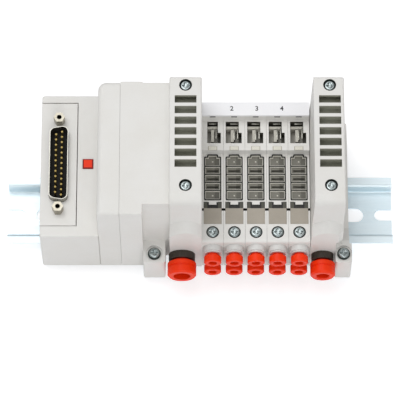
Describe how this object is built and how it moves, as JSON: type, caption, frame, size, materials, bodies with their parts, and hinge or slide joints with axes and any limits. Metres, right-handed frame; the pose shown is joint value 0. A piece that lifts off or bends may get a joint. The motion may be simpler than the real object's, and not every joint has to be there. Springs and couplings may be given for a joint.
{
  "type": "pneumatic valve island",
  "caption": "Pneumatic valve island on a slotted top-hat rail, with open valve seats, push-in fittings, louvred supply blocks and a swivelling multi-pin connector",
  "frame": {"origin": "underside of the rail web, at the middle of its length and width", "axes": "+X along the rail to the right, +Y to the back, away from the tube fittings, +Z away from the mounting panel"},
  "size_m": [0.19, 0.0868, 0.0746],
  "materials": {
    "housing": "fine moulded grain",
    "zinc_plate": "bright zinc plated strip",
    "board": "solder mask",
    "silencer_felt": "porous resin",
    "screw_steel": "bright zinc plated",
    "black_resin": "smooth moulded",
    "dark_resin": "fine moulded",
    "clip_resin": "fine moulded",
    "label_plate": "smooth sheet",
    "tin_shell": "tin plated, drawn",
    "gold_contact": "gold plated",
    "nickel_post": "nickel plated",
    "red_resin": "smooth moulded",
    "seal_rubber": "moulded seal",
    "connector_resin": "smooth moulded",
    "pale_resin": "smooth moulded"
  },
  "bodies": {
    "manifold": {"din_rail": "zinc_plate", "dsub_housing": "housing", "cover_left": "housing", "cover_right": "housing", "circuit_board": "board", "end_plate_left": "housing", "end_plate_right": "housing", "supply_block_left": "housing", "supply_block_right": "housing", "silencers": "silencer_felt", "mounting_screws": "screw_steel", "port_fitting_left": "black_resin", "port_fitting_right": "black_resin", "port_plates": "dark_resin", "fitting_clips": "clip_resin", "number_strip": "label_plate", "tie_rods": "screw_steel", "tie_rod_nuts": "screw_steel", "station_1": "housing", "gasket_1": "seal_rubber", "station_connector_1": "connector_resin", "cylinder_fitting_1": "pale_resin", "station_2": "housing", "gasket_2": "seal_rubber", "station_connector_2": "connector_resin", "cylinder_fitting_2": "pale_resin", "station_3": "housing", "gasket_3": "seal_rubber", "station_connector_3": "connector_resin", "cylinder_fitting_3": "pale_resin", "station_4": "housing", "gasket_4": "seal_rubber", "station_connector_4": "connector_resin", "cylinder_fitting_4": "pale_resin", "station_5": "housing", "gasket_5": "seal_rubber", "station_connector_5": "connector_resin", "cylinder_fitting_5": "pale_resin"},
    "connector": {"connector_carrier": "housing", "dsub_shell": "tin_shell", "dsub_insulator": "black_resin", "dsub_pins": "gold_contact", "jackposts": "nickel_post"},
    "button": {"release_button": "red_resin"},
    "clamp_screw_turning_left": {"clamp_screw_left": "screw_steel"},
    "jaw_left": {"clamp_jaw_left": "zinc_plate"},
    "port_release_left": {"port_bushing_left": "red_resin"},
    "clamp_screw_turning_right": {"clamp_screw_right": "screw_steel"},
    "jaw_right": {"clamp_jaw_right": "zinc_plate"},
    "port_release_right": {"port_bushing_right": "red_resin"},
    "upper_release_1": {"upper_bushing_1": "red_resin"},
    "lower_release_1": {"lower_bushing_1": "red_resin"},
    "upper_release_2": {"upper_bushing_2": "red_resin"},
    "lower_release_2": {"lower_bushing_2": "red_resin"},
    "upper_release_3": {"upper_bushing_3": "red_resin"},
    "lower_release_3": {"lower_bushing_3": "red_resin"},
    "upper_release_4": {"upper_bushing_4": "red_resin"},
    "lower_release_4": {"lower_bushing_4": "red_resin"},
    "upper_release_5": {"upper_bushing_5": "red_resin"},
    "lower_release_5": {"lower_bushing_5": "red_resin"}
  },
  "joints": [
    {"name": "connector_swivel", "type": "hinge", "parent": "manifold", "child": "connector", "pos_m": [-0.06855, 0.0094, 0.03225], "axis": [0, -1, 0], "range_deg": [0, 90]},
    {"name": "button_press", "type": "slide", "parent": "manifold", "child": "button", "axis": [0, 0, -1], "range_m": [0, 0.0015], "stiffness_N_per_m": 300},
    {"name": "clamp_screw_turn_left", "type": "hinge", "parent": "manifold", "child": "clamp_screw_turning_left", "pos_m": [-0.0222, -0.0296, 0.024], "axis": [0, 0, 1], "range_deg": [0, 1080]},
    {"name": "jaw_slide_left", "type": "slide", "parent": "manifold", "child": "jaw_left", "axis": [0, 0, -1], "range_m": [0, 0.0015]},
    {"name": "clamp_screw_turn_right", "type": "hinge", "parent": "manifold", "child": "clamp_screw_turning_right", "pos_m": [0.0698, -0.0296, 0.024], "axis": [0, 0, 1], "range_deg": [0, 1080]},
    {"name": "jaw_slide_right", "type": "slide", "parent": "manifold", "child": "jaw_right", "axis": [0, 0, -1], "range_m": [0, 0.0015]},
    {"name": "port_release_slide_left", "type": "slide", "parent": "manifold", "child": "port_release_left", "axis": [0, 1, 0], "range_m": [0, 0.0012], "stiffness_N_per_m": 400},
    {"name": "port_release_slide_right", "type": "slide", "parent": "manifold", "child": "port_release_right", "axis": [0, 1, 0], "range_m": [0, 0.0012], "stiffness_N_per_m": 400},
    {"name": "upper_release_slide_1", "type": "slide", "parent": "manifold", "child": "upper_release_1", "axis": [0, 1, 0], "range_m": [0, 0.001], "stiffness_N_per_m": 300},
    {"name": "lower_release_slide_1", "type": "slide", "parent": "manifold", "child": "lower_release_1", "axis": [0, 1, 0], "range_m": [0, 0.001], "stiffness_N_per_m": 300},
    {"name": "upper_release_slide_2", "type": "slide", "parent": "manifold", "child": "upper_release_2", "axis": [0, 1, 0], "range_m": [0, 0.001], "stiffness_N_per_m": 300},
    {"name": "lower_release_slide_2", "type": "slide", "parent": "manifold", "child": "lower_release_2", "axis": [0, 1, 0], "range_m": [0, 0.001], "stiffness_N_per_m": 300},
    {"name": "upper_release_slide_3", "type": "slide", "parent": "manifold", "child": "upper_release_3", "axis": [0, 1, 0], "range_m": [0, 0.001], "stiffness_N_per_m": 300},
    {"name": "lower_release_slide_3", "type": "slide", "parent": "manifold", "child": "lower_release_3", "axis": [0, 1, 0], "range_m": [0, 0.001], "stiffness_N_per_m": 300},
    {"name": "upper_release_slide_4", "type": "slide", "parent": "manifold", "child": "upper_release_4", "axis": [0, 1, 0], "range_m": [0, 0.001], "stiffness_N_per_m": 300},
    {"name": "lower_release_slide_4", "type": "slide", "parent": "manifold", "child": "lower_release_4", "axis": [0, 1, 0], "range_m": [0, 0.001], "stiffness_N_per_m": 300},
    {"name": "upper_release_slide_5", "type": "slide", "parent": "manifold", "child": "upper_release_5", "axis": [0, 1, 0], "range_m": [0, 0.001], "stiffness_N_per_m": 300},
    {"name": "lower_release_slide_5", "type": "slide", "parent": "manifold", "child": "lower_release_5", "axis": [0, 1, 0], "range_m": [0, 0.001], "stiffness_N_per_m": 300}
  ],
  "couplings": [
    {"joint": "clamp_screw_turn_left", "follows": "jaw_slide_left", "rad_per_m": 12566},
    {"joint": "clamp_screw_turn_right", "follows": "jaw_slide_right", "rad_per_m": 12566}
  ]
}
